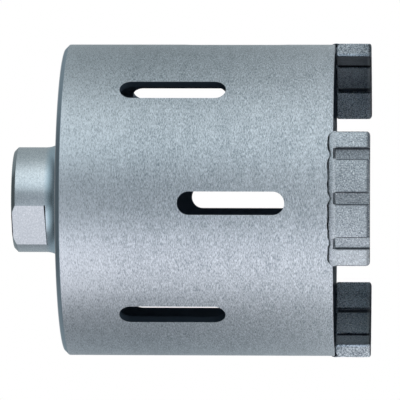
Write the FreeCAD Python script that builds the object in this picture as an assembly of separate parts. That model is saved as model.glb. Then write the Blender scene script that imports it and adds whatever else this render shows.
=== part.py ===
import FreeCAD, Part
import math
import os

# A diamond core bit for a hand-held drill. It stands on its three diamond segments with the
# threaded hub on top. The drilling axis is +Z and the origin is on it, level with the segments'
# cutting faces. All sizes are in millimetres and all angles in degrees, measured from +X
# towards +Y.

# Overall sizes: the 82 mm hole that the bit drills sets its diameter. New segments stand a
# little over that size, because they wear down to it.
SEGMENT_DIAMETER = 82.6
TOTAL_LENGTH = 93.0
BARREL_DIAMETER = 81.1
BARREL_WALL = 2.0

# Heights above the cutting faces.
RIM_HEIGHT = 9.4
REAR_FACE_HEIGHT = 79.6

# Rear edge of the barrel: a turned chamfer whose two borders are slightly rounded.
REAR_CHAMFER_LENGTH = 1.15
REAR_CHAMFER_DEPTH = 1.15
REAR_CHAMFER_SOFTENING = 0.3

# Slots: two staggered rows of four round-ended slots, cut straight through the wall.
SLOT_LENGTH = 27.1
SLOT_WIDTH = 5.9
SLOTS_PER_ROW = 4
FRONT_ROW_MIDDLE = 35.1
FRONT_ROW_START_ANGLE = 22.5
REAR_ROW_MIDDLE = 50.3
REAR_ROW_START_ANGLE = 67.5

# End plate and hub, turned as one piece.
PLATE_THICKNESS = 4.5
HUB_DIAMETER = 27.4
HUB_BASE_FILLET = 5.0
HUB_CHAMFER = 1.0
HUB_CHAMFER_SOFTENING = 0.3

# Two flats for an open-ended spanner, seen from the side as a step in the hub.
FLATS_ACROSS = 24.7
FLATS_LENGTH = 9.0
FLATS_ANGLE = 81.2

# The hub's M16 x 2 thread, left here as its tapping bore.
TAPPING_DIAMETER = 14.0
COUNTERSINK_DIAMETER = 17.0
COUNTERSINK_HALF_ANGLE = 60.0

# Diamond segments: sintered arcs that stand proud of the barrel's wall on both sides.
SEGMENT_ANGLES = (294.3, 54.3, 173.1)
SEGMENT_SPAN = 48.6
SEGMENT_THICKNESS = 3.45
SEGMENT_FRONT_CORNER = 0.9
SEGMENT_REAR_CORNER = 0.5
SEGMENT_FRONT_EDGE = 0.5

# Axial grooves moulded into each segment, open at the cutting face and ending in a slope.
OUTER_GROOVE_OFFSETS = (-16.0, 0.0, 16.0)
OUTER_GROOVE_WIDTH = 2.9
OUTER_GROOVE_DEPTH = 1.3
INNER_GROOVE_OFFSETS = (-9.1, 9.1)
INNER_GROOVE_WIDTH = 2.1
INNER_GROOVE_DEPTH = 0.9
GROOVE_FLOOR_HEIGHT = 8.7
GROOVE_MOUTH_HEIGHT = 9.3

# Weld bead: a low fillet that ramps from the barrel's wall up to each segment's outer face.
BEAD_REAR_HEIGHT = 10.9
BEAD_FRONT_HEIGHT = 8.8
BEAD_BULGE = 0.12
BEAD_CORNER = 1.5

# Room that a cutting shape reaches past the surface it cuts, and how near to its place an edge
# must be to be picked for rounding.
OVERCUT = 2.0
PICK_DISTANCE = 0.01

BARREL_OUTER = BARREL_DIAMETER / 2
BARREL_INNER = BARREL_OUTER - BARREL_WALL
SEGMENT_OUTER = SEGMENT_DIAMETER / 2
SEGMENT_INNER = SEGMENT_OUTER - SEGMENT_THICKNESS
PLATE_FRONT = REAR_FACE_HEIGHT - PLATE_THICKNESS
HUB_RADIUS = HUB_DIAMETER / 2

ORIGIN = FreeCAD.Vector(0, 0, 0)
Z_AXIS = FreeCAD.Vector(0, 0, 1)


def point(radius, height):
    """A point of a turned section, in the plane that holds +X and the axis."""
    return FreeCAD.Vector(radius, 0, height)


def turned(outline, span=360.0):
    """Sweep a closed outline about the axis, centred on +X when it is less than a full turn."""
    solid = Part.Face(outline).revolve(ORIGIN, Z_AXIS, span)
    if span < 360.0:
        solid.rotate(ORIGIN, Z_AXIS, -span / 2)
    return solid


def closed_polygon(points):
    return Part.makePolygon(points + [points[0]])


def at_angle(shape, angle):
    """A copy of a shape made along +X, turned about the axis."""
    copy = shape.copy()
    copy.rotate(ORIGIN, Z_AXIS, angle)
    return copy


def circles_at(shape, radius, height):
    """The round edges about the axis that lie at this radius and height."""
    found = []
    for edge in shape.Edges:
        curve = edge.Curve
        if not isinstance(curve, Part.Circle):
            continue
        off_axis = math.hypot(curve.Center.x, curve.Center.y)
        misses = (off_axis, abs(curve.Radius - radius), abs(curve.Center.z - height))
        if max(misses) < PICK_DISTANCE:
            found.append(edge)
    return found


def slot_cutter(middle_height):
    """A round-ended prism along +X that cuts one slot through one side of the wall."""
    half_width = SLOT_WIDTH / 2
    straight = SLOT_LENGTH / 2 - half_width
    start = BARREL_INNER - OVERCUT - SLOT_WIDTH

    def corner(y, z):
        return FreeCAD.Vector(start, y, middle_height + z)

    outline = Part.Wire([
        Part.LineSegment(corner(half_width, -straight), corner(half_width, straight)).toShape(),
        Part.Arc(
            corner(half_width, straight),
            corner(0, straight + half_width),
            corner(-half_width, straight),
        ).toShape(),
        Part.LineSegment(corner(-half_width, straight), corner(-half_width, -straight)).toShape(),
        Part.Arc(
            corner(-half_width, -straight),
            corner(0, -straight - half_width),
            corner(half_width, -straight),
        ).toShape(),
    ])
    reach = BARREL_OUTER + OVERCUT - start
    return Part.Face(outline).extrude(FreeCAD.Vector(reach, 0, 0))


def make_barrel():
    """The slotted tube, with its rear outer edge chamfered."""
    chamfer_start = REAR_FACE_HEIGHT - REAR_CHAMFER_LENGTH
    land_radius = BARREL_OUTER - REAR_CHAMFER_DEPTH
    tube = turned(closed_polygon([
        point(BARREL_INNER, RIM_HEIGHT),
        point(BARREL_OUTER, RIM_HEIGHT),
        point(BARREL_OUTER, chamfer_start),
        point(land_radius, REAR_FACE_HEIGHT),
        point(BARREL_INNER, REAR_FACE_HEIGHT),
    ]))
    soft_edges = circles_at(tube, BARREL_OUTER, chamfer_start)
    soft_edges += circles_at(tube, land_radius, REAR_FACE_HEIGHT)
    tube = tube.makeFillet(REAR_CHAMFER_SOFTENING, soft_edges)

    cutters = []
    rows = (
        (FRONT_ROW_MIDDLE, FRONT_ROW_START_ANGLE),
        (REAR_ROW_MIDDLE, REAR_ROW_START_ANGLE),
    )
    for middle_height, start_angle in rows:
        cutter = slot_cutter(middle_height)
        for number in range(SLOTS_PER_ROW):
            cutters.append(at_angle(cutter, start_angle + number * 360 / SLOTS_PER_ROW))
    return tube.cut(cutters)


def flat_cutter():
    """A block that cuts one spanner flat, facing +X."""
    size = HUB_DIAMETER + OVERCUT
    return Part.makeBox(
        size,
        2 * size,
        FLATS_LENGTH + OVERCUT,
        FreeCAD.Vector(FLATS_ACROSS / 2, -size, TOTAL_LENGTH - FLATS_LENGTH),
    )


def make_rear_plate_hub():
    """The end plate, the hub on it with its flats, and the bore through both."""
    bore_radius = TAPPING_DIAMETER / 2
    mouth_radius = COUNTERSINK_DIAMETER / 2
    sink = (mouth_radius - bore_radius) / math.tan(math.radians(COUNTERSINK_HALF_ANGLE))
    fillet_middle = HUB_BASE_FILLET * (1 - math.cos(math.radians(45)))
    outline = Part.Wire([
        Part.makePolygon([
            point(HUB_RADIUS, REAR_FACE_HEIGHT + HUB_BASE_FILLET),
            point(HUB_RADIUS, TOTAL_LENGTH - HUB_CHAMFER),
            point(HUB_RADIUS - HUB_CHAMFER, TOTAL_LENGTH),
            point(mouth_radius, TOTAL_LENGTH),
            point(bore_radius, TOTAL_LENGTH - sink),
            point(bore_radius, PLATE_FRONT + sink),
            point(mouth_radius, PLATE_FRONT),
            point(BARREL_INNER, PLATE_FRONT),
            point(BARREL_INNER, REAR_FACE_HEIGHT),
            point(HUB_RADIUS + HUB_BASE_FILLET, REAR_FACE_HEIGHT),
        ]),
        Part.Arc(
            point(HUB_RADIUS + HUB_BASE_FILLET, REAR_FACE_HEIGHT),
            point(HUB_RADIUS + fillet_middle, REAR_FACE_HEIGHT + fillet_middle),
            point(HUB_RADIUS, REAR_FACE_HEIGHT + HUB_BASE_FILLET),
        ).toShape(),
    ])
    body = turned(outline)
    soft_edges = circles_at(body, HUB_RADIUS, TOTAL_LENGTH - HUB_CHAMFER)
    soft_edges += circles_at(body, HUB_RADIUS - HUB_CHAMFER, TOTAL_LENGTH)
    body = body.makeFillet(HUB_CHAMFER_SOFTENING, soft_edges)
    cutter = flat_cutter()
    return body.cut([at_angle(cutter, FLATS_ANGLE), at_angle(cutter, FLATS_ANGLE + 180)])


def groove_cutter(width, surface_radius, floor_radius):
    """A prism along the axis at +X, whose rear end slopes up from the groove's floor."""
    outwards = 1 if surface_radius > floor_radius else -1
    depth = abs(surface_radius - floor_radius)
    slope = (GROOVE_MOUTH_HEIGHT - GROOVE_FLOOR_HEIGHT) / depth
    past_radius = surface_radius + outwards * OVERCUT
    past_height = GROOVE_MOUTH_HEIGHT + slope * OVERCUT

    def corner(radius, height):
        return FreeCAD.Vector(radius, -width / 2, height)

    outline = closed_polygon([
        corner(floor_radius, -OVERCUT),
        corner(past_radius, -OVERCUT),
        corner(past_radius, past_height),
        corner(floor_radius, GROOVE_FLOOR_HEIGHT),
    ])
    return Part.Face(outline).extrude(FreeCAD.Vector(0, width, 0))


def groove_cutters():
    """All five grooves of one segment, placed about +X."""
    outer = groove_cutter(OUTER_GROOVE_WIDTH, SEGMENT_OUTER, SEGMENT_OUTER - OUTER_GROOVE_DEPTH)
    inner = groove_cutter(INNER_GROOVE_WIDTH, SEGMENT_INNER, SEGMENT_INNER + INNER_GROOVE_DEPTH)
    cutters = [at_angle(outer, offset) for offset in OUTER_GROOVE_OFFSETS]
    cutters += [at_angle(inner, offset) for offset in INNER_GROOVE_OFFSETS]
    return cutters


def corner_cutter(radius, height, end, up):
    """A prism that rounds one corner of a segment's end face, seen along the radius.

    end is 1 or -1 for the two end faces, and up is 1 where the segment lies above the corner
    and -1 where it lies below.
    """
    start = SEGMENT_INNER - OVERCUT

    def corner(inwards, along):
        return FreeCAD.Vector(start, -end * inwards, height + up * along)

    middle = radius * (1 - math.cos(math.radians(45)))
    outline = Part.Wire([
        Part.makePolygon([
            corner(0, radius),
            corner(-OVERCUT, radius),
            corner(-OVERCUT, -OVERCUT),
            corner(radius, -OVERCUT),
            corner(radius, 0),
        ]),
        Part.Arc(corner(radius, 0), corner(middle, middle), corner(0, radius)).toShape(),
    ])
    prism = Part.Face(outline).extrude(FreeCAD.Vector(SEGMENT_OUTER + OVERCUT - start, 0, 0))
    return at_angle(prism, end * SEGMENT_SPAN / 2)


def bead_outline():
    """The bead's section: flat on the segment and the barrel, slightly bulged outside."""
    foot = point(BARREL_OUTER, BEAD_REAR_HEIGHT)
    tip = point(SEGMENT_OUTER, BEAD_FRONT_HEIGHT)
    root = point(BARREL_OUTER, RIM_HEIGHT)
    run = tip - foot
    outward = FreeCAD.Vector(-run.z, 0, run.x).normalize()
    crown = (foot + tip) * 0.5 + outward * BEAD_BULGE
    return Part.Wire([
        Part.Arc(foot, crown, tip).toShape(),
        Part.LineSegment(tip, root).toShape(),
        Part.LineSegment(root, foot).toShape(),
    ])


def make_segment():
    """One diamond segment at +X, with its grooves and the slope that the bead lies on."""
    edge = SEGMENT_FRONT_EDGE
    middle = edge * (1 - math.cos(math.radians(45)))
    blank = turned(Part.Wire([
        Part.Arc(
            point(SEGMENT_INNER, edge),
            point(SEGMENT_INNER + middle, middle),
            point(SEGMENT_INNER + edge, 0),
        ).toShape(),
        Part.LineSegment(
            point(SEGMENT_INNER + edge, 0), point(SEGMENT_OUTER - edge, 0)
        ).toShape(),
        Part.Arc(
            point(SEGMENT_OUTER - edge, 0),
            point(SEGMENT_OUTER - middle, middle),
            point(SEGMENT_OUTER, edge),
        ).toShape(),
        Part.makePolygon([
            point(SEGMENT_OUTER, edge),
            point(SEGMENT_OUTER, BEAD_FRONT_HEIGHT),
            point(BARREL_OUTER, RIM_HEIGHT),
            point(SEGMENT_INNER, RIM_HEIGHT),
            point(SEGMENT_INNER, edge),
        ]),
    ]), SEGMENT_SPAN)
    cutters = groove_cutters()
    for end in (-1, 1):
        cutters.append(corner_cutter(SEGMENT_FRONT_CORNER, 0, end, 1))
        cutters.append(corner_cutter(SEGMENT_REAR_CORNER, RIM_HEIGHT, end, -1))
    return blank.cut(cutters)


def make_weld_bead():
    """The weld bead of one segment at +X, with rounded ends."""
    bead = turned(bead_outline(), SEGMENT_SPAN)
    half_width = SEGMENT_OUTER * math.sin(math.radians(SEGMENT_SPAN / 2))
    block = Part.makeBox(
        SEGMENT_OUTER + OVERCUT,
        2 * half_width,
        BEAD_REAR_HEIGHT - BEAD_FRONT_HEIGHT + OVERCUT,
        FreeCAD.Vector(0, -half_width, BEAD_FRONT_HEIGHT - OVERCUT),
    )
    rear_corners = [
        edge for edge in block.Edges
        if all(abs(v.Z - BEAD_REAR_HEIGHT) < PICK_DISTANCE
               and abs(v.Y) > half_width - PICK_DISTANCE
               for v in edge.Vertexes)
    ]
    rounded = block.makeFillet(BEAD_CORNER, rear_corners)
    return bead.common(rounded).cut(groove_cutters())


def save(shape, node):
    """Write one sub-part, after making sure that it is one sound solid."""
    if shape.ShapeType != "Solid":
        shape = shape.Solids[0] if len(shape.Solids) == 1 else shape
    print(node, "solids", len(shape.Solids), "valid", shape.isValid(),
          "volume", round(shape.Volume, 1))
    shape.exportStep(os.path.join("parts", node + ".step"))


os.makedirs("parts", exist_ok=True)
save(make_barrel(), "barrel")
save(make_rear_plate_hub(), "rear_plate_hub")
segment = make_segment()
weld_bead = make_weld_bead()
for index, angle in enumerate(SEGMENT_ANGLES, start=1):
    save(at_angle(segment, angle), "segment_" + str(index))
    save(at_angle(weld_bead, angle), "weld_bead_" + str(index))
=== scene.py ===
# %% [markdown]
# This is a diamond core bit, the hollow saw that cuts round holes in masonry. It stands on its
# three diamond segments, with its threaded hub on top. All of it could be modelled here, but the
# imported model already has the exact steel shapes, so that is loaded as a fixed frame. The lesson
# adds what shows up close: the thread, the weld beads, the gritty segments and the steel's grain.

# %% Load the frame
import math

import bpy
from mathutils import Matrix, Vector


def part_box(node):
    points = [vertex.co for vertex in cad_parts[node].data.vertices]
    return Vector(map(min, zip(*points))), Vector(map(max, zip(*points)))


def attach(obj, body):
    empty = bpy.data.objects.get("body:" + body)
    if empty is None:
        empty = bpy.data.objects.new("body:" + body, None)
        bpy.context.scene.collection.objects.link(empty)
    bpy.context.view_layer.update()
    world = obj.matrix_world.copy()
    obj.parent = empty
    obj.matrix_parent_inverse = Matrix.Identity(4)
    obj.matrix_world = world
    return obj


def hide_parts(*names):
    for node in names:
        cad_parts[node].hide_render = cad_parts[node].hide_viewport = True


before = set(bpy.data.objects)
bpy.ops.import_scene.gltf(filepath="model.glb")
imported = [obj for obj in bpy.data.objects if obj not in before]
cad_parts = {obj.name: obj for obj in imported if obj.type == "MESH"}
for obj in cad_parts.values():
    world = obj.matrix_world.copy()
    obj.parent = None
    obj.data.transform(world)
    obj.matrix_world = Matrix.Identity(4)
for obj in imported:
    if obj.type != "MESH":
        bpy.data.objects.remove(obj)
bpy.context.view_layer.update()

# %% [markdown]
# The parts of the real bit are welded together, so each new piece has to meet the steel exactly.
# Typing the sizes in again would do, but numbers kept in two places drift apart. They are read
# from the boxes of the loaded nodes instead, and only what no box tells is named in millimetres.

# %% Sizes of the barrel and hub
MM = 0.001
barrel_low, barrel_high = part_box("barrel")
hub_low, hub_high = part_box("rear_plate_hub")
BARREL_RADIUS = (barrel_high.x - barrel_low.x) / 2
PLATE_RADIUS = (hub_high.x - hub_low.x) / 2
RIM_HEIGHT = barrel_low.z
REAR_FACE = barrel_high.z
PLATE_FRONT = hub_low.z
HUB_TOP = hub_high.z
print("barrel radius", round(BARREL_RADIUS, 5), "rim", round(RIM_HEIGHT, 5))

# %% [markdown]
# Catalogues show such a tool through a long lens from far away, which flattens it. The camera
# could be placed by hand in the window, but a view that is worked out can be matched to a
# photograph dot by dot. So it is given by the direction that faces it, a distance, a height a
# little below the floor, and how many picture dots one millimetre takes. It is rolled by a
# quarter turn, so that the standing tool lies across the picture with its hub on the left.

# %% Camera
NEAR_ANGLE = 292.5
CAMERA_DISTANCE = 1.123
CAMERA_HEIGHT = -7.5 * MM
CAMERA_SIDE_SHIFT = 22.4 * MM
AIM_HEIGHT = 44.63 * MM
SENSOR_WIDTH = 36.0
PICTURE_DOTS = 400
DOTS_PER_MM = 3.835
ROLL = 0.08


def around(radius, angle, height):
    """A point at this radius, angle in degrees and height about the drilling axis."""
    turn = math.radians(angle)
    return Vector((radius * math.cos(turn), radius * math.sin(turn), height))


def add_camera():
    """The camera, with picture right pointing down the tool and picture up across it."""
    data = bpy.data.cameras.new("catalogue_camera")
    data.sensor_width = SENSOR_WIDTH
    dots_of_focus = DOTS_PER_MM / MM * CAMERA_DISTANCE
    data.lens = dots_of_focus * SENSOR_WIDTH / PICTURE_DOTS
    camera = bpy.data.objects.new("catalogue_camera", data)
    bpy.context.scene.collection.objects.link(camera)
    across = around(1.0, NEAR_ANGLE + 90, 0)
    place = around(CAMERA_DISTANCE, NEAR_ANGLE, CAMERA_HEIGHT) + across * CAMERA_SIDE_SHIFT
    ahead = (Vector((0, 0, AIM_HEIGHT)) - place).normalized()
    right = ahead.cross(across).normalized()
    up = right.cross(ahead)
    turn = Matrix((right, up, -ahead)).transposed()
    turn = turn @ Matrix.Rotation(math.radians(ROLL), 3, "Z")
    camera.matrix_world = Matrix.Translation(place) @ turn.to_4x4()
    bpy.context.scene.camera = camera
    return camera


print("lens", round(add_camera().data.lens, 1), "mm")

# %% [markdown]
# Every piece of the bit is made with operators, the same moves that the Blender window offers.
# They act on whatever is selected, and after loading that is every node. Mesh code could ignore
# the selection, but then nothing here could be repeated by hand. So one helper selects a single
# piece, and the others add a circle by itself, apply a modifier and set the smooth shading.

# %% Select, modify and smooth
print("selected after loading:", len(bpy.context.selected_objects), "nodes")


def only(piece):
    """Select this piece alone and make it the active one."""
    bpy.ops.object.select_all(action="DESELECT")
    piece.select_set(True)
    bpy.context.view_layer.objects.active = piece


def add_circle(name, **settings):
    """Add a circle by itself and name it."""
    bpy.ops.object.select_all(action="DESELECT")
    bpy.ops.mesh.primitive_circle_add(**settings)
    circle = bpy.context.object
    circle.name = name
    return circle


def apply_modifier(piece, kind, **settings):
    """Add a modifier, give it its settings and apply it."""
    only(piece)
    modifier = piece.modifiers.new(kind.lower(), kind)
    for name, value in settings.items():
        setattr(modifier, name, value)
    bpy.ops.object.modifier_apply(modifier=modifier.name)


def smooth(piece, angle):
    """Smooth shading that breaks at edges sharper than this angle in degrees."""
    only(piece)
    bpy.ops.object.shade_smooth_by_angle(angle=math.radians(angle))


# %% [markdown]
# The hub and the segments are turned or pressed to exact outlines. A new mesh could be built for
# each, but a copy of its loaded node has that outline already. A node's mesh is loose triangles,
# so their doubled corners are merged, which gives a closed mesh that modifiers can work on.

# %% A working copy of a node
MERGE_DISTANCE = 0.001 * MM


def merged_copy(node, name):
    """A copy of a loaded node as one closed mesh, free of the frame."""
    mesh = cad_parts[node].data.copy()
    mesh.name = name
    mesh.materials.clear()
    piece = bpy.data.objects.new(name, mesh)
    bpy.context.scene.collection.objects.link(piece)
    only(piece)
    if mesh.has_custom_normals:
        bpy.ops.mesh.customdata_custom_splitnormals_clear()
    bpy.ops.object.mode_set(mode="EDIT")
    bpy.ops.mesh.select_all(action="SELECT")
    bpy.ops.mesh.remove_doubles(threshold=MERGE_DISTANCE)
    bpy.ops.object.mode_set(mode="OBJECT")
    return piece


print("nodes to copy from:", sorted(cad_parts))

# %% [markdown]
# The hub screws on to a drill by a right-handed M16 thread with a pitch of 2 mm. A bump could
# hint at it, but through the hub's open mouth only real flanks look right. A tap cuts the real
# one, so the lesson models what the tap takes away. It starts with the section of that groove,
# narrow at its root and opening by 30 degrees on each flank.

# %% The section of the thread
PITCH = 2.0 * MM
THREAD_OUTER = 8.0 * MM
CUTTER_INNER = 6.75 * MM
ROOT_WIDTH = 0.25 * MM
FLANK_ANGLE = 30
THREAD_OVERRUN = 1.5


def make_thread_section():
    """The groove's four corners, as a ring of edges below the start of the bore."""
    half_root = ROOT_WIDTH / 2
    half_mouth = half_root + math.tan(math.radians(FLANK_ANGLE)) * (THREAD_OUTER - CUTTER_INNER)
    start = PLATE_FRONT - THREAD_OVERRUN * PITCH
    section = add_circle(
        "thread_cutter", vertices=4, radius=THREAD_OUTER, fill_type="NOTHING",
    )
    corners = (
        (CUTTER_INNER, -half_mouth), (THREAD_OUTER, -half_root),
        (THREAD_OUTER, half_root), (CUTTER_INNER, half_mouth),
    )
    for vertex, (radius, height) in zip(section.data.vertices, corners):
        vertex.co = (radius, 0, start + height)
    return section


thread_cutter = make_thread_section()
print("groove", round((THREAD_OUTER - CUTTER_INNER) / MM, 2), "mm deep with its overlap")

# %% [markdown]
# A tap leaves one groove that climbs through the whole bore. The section could be copied and
# bridged step by step, but the Screw modifier winds it in one go and keeps the pitch exact. The
# helix runs on past both mouths, so that the thread ends as a real one does, and its two open
# ends are closed, because a Boolean needs a solid.

# %% Wind the section into a helix
THREAD_STEPS = 64
SPARE_TURNS = 0.5


def wind_thread(cutter):
    """Wind the section up through the bore and close both of its ends."""
    turns = math.ceil((HUB_TOP - PLATE_FRONT) / PITCH + THREAD_OVERRUN + SPARE_TURNS)
    apply_modifier(
        cutter, "SCREW", axis="Z", screw_offset=PITCH, iterations=turns,
        steps=THREAD_STEPS, render_steps=THREAD_STEPS, use_merge_vertices=True,
    )
    bpy.ops.object.mode_set(mode="EDIT")
    bpy.ops.mesh.select_mode(type="EDGE")
    bpy.ops.mesh.select_all(action="DESELECT")
    bpy.ops.mesh.select_non_manifold()
    bpy.ops.mesh.edge_face_add()
    bpy.ops.mesh.select_all(action="SELECT")
    bpy.ops.mesh.normals_make_consistent(inside=False)
    bpy.ops.object.mode_set(mode="OBJECT")
    return turns


print("thread cutter turns", wind_thread(thread_cutter))

# %% [markdown]
# The end plate and the hub are one turned part, and tapping is the last cut made in it. The
# thread could be joined to the bore edge by edge, but a Boolean takes the helix out of the copied
# solid exactly, through the slanted mouth as well. Shading is smooth except at real edges.

# %% The threaded hub
HUB_EDGE_ANGLE = 20


def make_threaded_hub(cutter):
    """The end plate and hub, with the thread cut into its bore."""
    hub = merged_copy("rear_plate_hub", "threaded_hub")
    apply_modifier(hub, "BOOLEAN", operation="DIFFERENCE", solver="EXACT", object=cutter)
    bpy.data.objects.remove(cutter)
    smooth(hub, HUB_EDGE_ANGLE)
    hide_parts("rear_plate_hub")
    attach(hub, "root")
    return hub


threaded_hub = make_threaded_hub(thread_cutter)
print("threaded hub faces", len(threaded_hub.data.polygons))

# %% [markdown]
# The three segments do the cutting. Each is an arc of metal and diamond with grooves that carry
# the dust away, three outside and two inside. Their dark places could be painted by hand, but
# rules that read where a point lies fit all three. So their sizes come first, with two measures
# of a place: how far it is turned from the segment's middle, and whether it lies in a groove.

# %% The layout of a segment
SEGMENT_NODES = ("segment_1", "segment_2", "segment_3")
SEGMENT_ANGLES = (294.3, 54.3, 173.1)
SEGMENT_RADIUS = 41.3 * MM
SEGMENT_THICKNESS = 3.45 * MM
SEGMENT_SPAN = 48.6
OUTER_GROOVES = (-16.0, 0.0, 16.0)
OUTER_GROOVE_WIDTH = 2.9 * MM
OUTER_GROOVE_DEPTH = 1.3 * MM
INNER_GROOVES = (-9.1, 9.1)
INNER_GROOVE_WIDTH = 2.1 * MM
INNER_GROOVE_DEPTH = 0.9 * MM


def turn_from(point, angle):
    """Degrees from this angle to the point's own, between -180 and 180."""
    turn = math.degrees(math.atan2(point.y, point.x)) - angle
    return (turn + 180) % 360 - 180


def in_groove(turn, radius, grooves, width):
    """Whether a point at this turn and radius lies between the walls of a groove."""
    return any(abs(math.radians(turn - groove)) * radius < width / 2 for groove in grooves)


def stretch_of(turn, grooves):
    """The number of the stretch between grooves that this turn lies in, counted from 0."""
    return sum(turn > groove for groove in grooves)


print("a segment is", round(math.radians(SEGMENT_SPAN) * SEGMENT_RADIUS / MM, 1), "mm long")

# %% [markdown]
# A segment is pressed from powder and grit and then sintered, so its edges are softly broken and
# its faces are never quite flat. A Bevel and a bump would leave the edges too even. Instead the
# Remesh modifier turns the copied solid into an even skin of tiny faces, and the Smooth modifier
# eases its corners.

# %% The skin of a segment
SKIN_SIZE = 0.16 * MM
SKIN_EASING = 0.5
SKIN_PASSES = 3


def make_skin(node):
    """A copy of the segment as an even skin with eased corners."""
    segment = merged_copy(node, "sintered_" + node)
    apply_modifier(segment, "REMESH", mode="VOXEL", voxel_size=SKIN_SIZE)
    apply_modifier(segment, "SMOOTH", factor=SKIN_EASING, iterations=SKIN_PASSES)
    return segment


segments = [make_skin(node) for node in SEGMENT_NODES]
print("skin points", [len(segment.data.vertices) for segment in segments])

# %% [markdown]
# Inside the barrel the segments lie in shade, so their inner face is painted mostly dark, and the
# grooves in it darkest where they are deep: all of it painted shade. A texture could carry this,
# but it would need a map of each arc. Here a rule gives every point a level of painted shade,
# which the material reads later. Each inner face has its own levels for its three stretches, and
# its own unshaded share of each groove's depth.

# %% Painted shade on the inner face
SKIN_DEPTH = 0.08 * MM
SEGMENT_INNER = SEGMENT_RADIUS - SEGMENT_THICKNESS
# Painted shade on the three stretches of each inner face, and the unshaded share of each groove.
INNER_FACE_SHADE = ((0.4, 0.4, 0.4), (0.87, 0.68, 0.0), (0.0, 0.42, 0.52))
INNER_GROOVE_UNSHADED = ((0.5, 0.5), (0.5, 0.85), (0.85, 0.5))
INNER_GROOVE_SHADE = 0.9


def shade_inside(turn, radius, face_shade, unshaded_shares):
    """Painted shade on the inner face and in its grooves, or None away from them."""
    depth = radius - SEGMENT_INNER
    if depth < SKIN_DEPTH:
        return face_shade[stretch_of(turn, INNER_GROOVES)]
    shallow = depth < INNER_GROOVE_DEPTH + SKIN_DEPTH
    if shallow and in_groove(turn, radius, INNER_GROOVES, INNER_GROOVE_WIDTH):
        unshaded_depth = INNER_GROOVE_DEPTH * unshaded_shares[turn > 0]
        return INNER_GROOVE_SHADE if depth > unshaded_depth else 0.0
    return None


print("soot of the inner faces", INNER_FACE_SHADE)

# %% [markdown]
# Outside, a segment is painted dark on the walls and lips of its grooves, along its cutting edge,
# at the edges of its ends and a little on some stretches, and pale in between: all of it painted
# shade. The same way is used as inside, because a darkening by the sharpness of the mesh would
# miss the flat floors. One rule covers the outer skin, and one what lies below it: groove floors
# and walls, the front face and the ends.

# %% Painted shade on the outer face
# Levels of painted shade in the grooves, on the front face, at the ends and on each outer stretch.
GROOVE_FLOOR_SHADE = (0.05, 0.3, 0.4)
GROOVE_FLOOR_REAR = 8.6 * MM
END_WALL_SHADE = 0.45
WALL_SHADE = 0.72
FRONT_FACE_SHADE = 0.5
LIP_WIDTH = 3.45 * MM
LIP_REAR = 9.4 * MM
END_EDGE = 0.35
END_SHADE = 0.6
FRONT_EDGE = 1.2 * MM
FRONT_SHADE = 1.3
OUTER_STRETCH_SHADE = (0.0, 0.02, 0.06, 0.0)


def shade_below_skin(turn, radius, height):
    """Painted shade in the outer grooves, on the front face and on the ends."""
    for groove, floor_shade in zip(OUTER_GROOVES, GROOVE_FLOOR_SHADE):
        if in_groove(turn, radius, (groove,), OUTER_GROOVE_WIDTH + SKIN_SIZE):
            if SEGMENT_RADIUS - radius > OUTER_GROOVE_DEPTH - SKIN_DEPTH:
                return floor_shade
            return END_WALL_SHADE if height > GROOVE_FLOOR_REAR else WALL_SHADE
    return FRONT_FACE_SHADE if height < SKIN_DEPTH else 0.0


def shade_on_skin(turn, radius, height):
    """Painted shade on the outer skin: at the lips of the grooves, the ends and the cutting edge.
    """
    if height < LIP_REAR and in_groove(turn, radius, OUTER_GROOVES, LIP_WIDTH):
        return WALL_SHADE
    if abs(turn) > SEGMENT_SPAN / 2 - END_EDGE:
        return END_SHADE
    front = min(1.0, FRONT_SHADE * (1 - height / FRONT_EDGE))
    return max(front, OUTER_STRETCH_SHADE[stretch_of(turn, OUTER_GROOVES)])


print("soot of the groove floors", GROOVE_FLOOR_SHADE, "and walls", WALL_SHADE)

# %% [markdown]
# A painted highlight makes a segment bright along its inner cutting edge, and another makes one
# stretch of the outer skin paler than the rest. On the two ends the grit stands out most. The
# Pointiness of the Geometry node could find such edges, but it would light every edge alike. Two
# more rules mark them.

# %% Painted highlights and ends
HIGHLIGHT_REACH = 1.3 * MM
# Painted highlight on each stretch of the outer skin.
OUTER_STRETCH_HIGHLIGHT = (0.35, 0.0, 0.0, 0.0)


def painted_highlight_at(turn, radius, height):
    """How strong a segment's painted highlight is here, from 0 to 1."""
    if SEGMENT_RADIUS - radius > SEGMENT_THICKNESS - HIGHLIGHT_REACH:
        return max(0.0, 1 - height / HIGHLIGHT_REACH)
    if SEGMENT_RADIUS - radius > 2 * SKIN_DEPTH:
        return 0.0
    return OUTER_STRETCH_HIGHLIGHT[stretch_of(turn, OUTER_GROOVES)]


def end_at(turn, radius):
    """1 on the end faces of a segment and 0 elsewhere."""
    at_end = abs(turn) > SEGMENT_SPAN / 2 - END_EDGE
    return float(at_end and SEGMENT_RADIUS - radius > SKIN_DEPTH)


print("worn edge", round(HIGHLIGHT_REACH / MM, 2), "mm wide")

# %% [markdown]
# The marks are now kept on the segments. Vertex colours painted by hand would be the usual way,
# but a named attribute takes one number for each point straight from the rules. They are measured
# before the skin is roughened, while every point still lies exactly where its rule expects it.

# %% Mark the segments
MARKS = ("painted_shade", "painted_highlight", "end")


def store(piece, name, values):
    """Keep one number for each point of the mesh, for a material to read."""
    attribute = piece.data.attributes.new(name, "FLOAT", "POINT")
    attribute.data.foreach_set("value", values)


def painted_shade_at(turn, radius, height, face_shade, unshaded_shares):
    """How strong the painted shade on a segment is at this place, from 0 to 1."""
    painted_shade = shade_inside(turn, radius, face_shade, unshaded_shares)
    if painted_shade is not None:
        return painted_shade
    if SEGMENT_RADIUS - radius > SKIN_DEPTH:
        return shade_below_skin(turn, radius, height)
    return shade_on_skin(turn, radius, height)


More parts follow.
